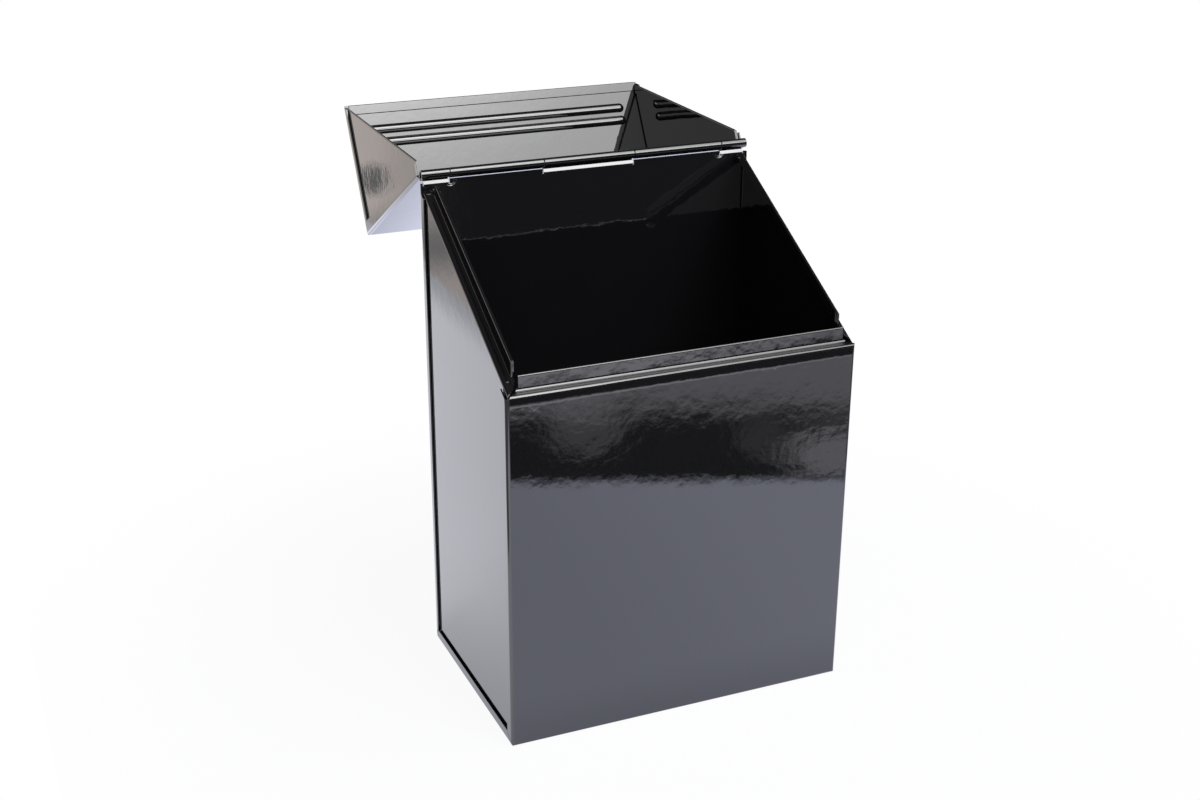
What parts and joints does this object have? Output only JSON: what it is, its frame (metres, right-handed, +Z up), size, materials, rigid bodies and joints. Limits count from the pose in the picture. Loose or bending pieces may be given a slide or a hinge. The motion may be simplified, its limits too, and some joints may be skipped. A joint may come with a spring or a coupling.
{
  "type": "kindling box",
  "caption": "Upright folded-steel box for firelighters and kindling, with a sloping hemmed mouth and a corner lid that swings up and over backwards on a full-width rolled hinge.",
  "frame": {"origin": "centre of the flat underside of the box body, on the surface it stands on", "axes": "+X to the right seen from the front, +Y to the back, where the open lid hangs, +Z up; the hinge axis lies along X"},
  "size_m": [0.1504, 0.2113, 0.2221],
  "materials": {
    "black_enamel": "glossy black enamel with a fine orange peel",
    "pin_steel": "plain drawn steel, ends dressed off"
  },
  "bodies": {
    "box": {"body_wrap": "black_enamel", "left_side_panel": "black_enamel", "right_side_panel": "black_enamel", "hinge_pin": "pin_steel"},
    "lid": {"lid_shell": "black_enamel", "lid_left_cheek": "black_enamel", "lid_right_cheek": "black_enamel"}
  },
  "joints": [
    {"name": "lid_hinge", "type": "hinge", "parent": "box", "child": "lid", "pos_m": [0, 0.04815, 0.2142], "axis": [1, 0, 0], "range_deg": [0, 209]}
  ]
}
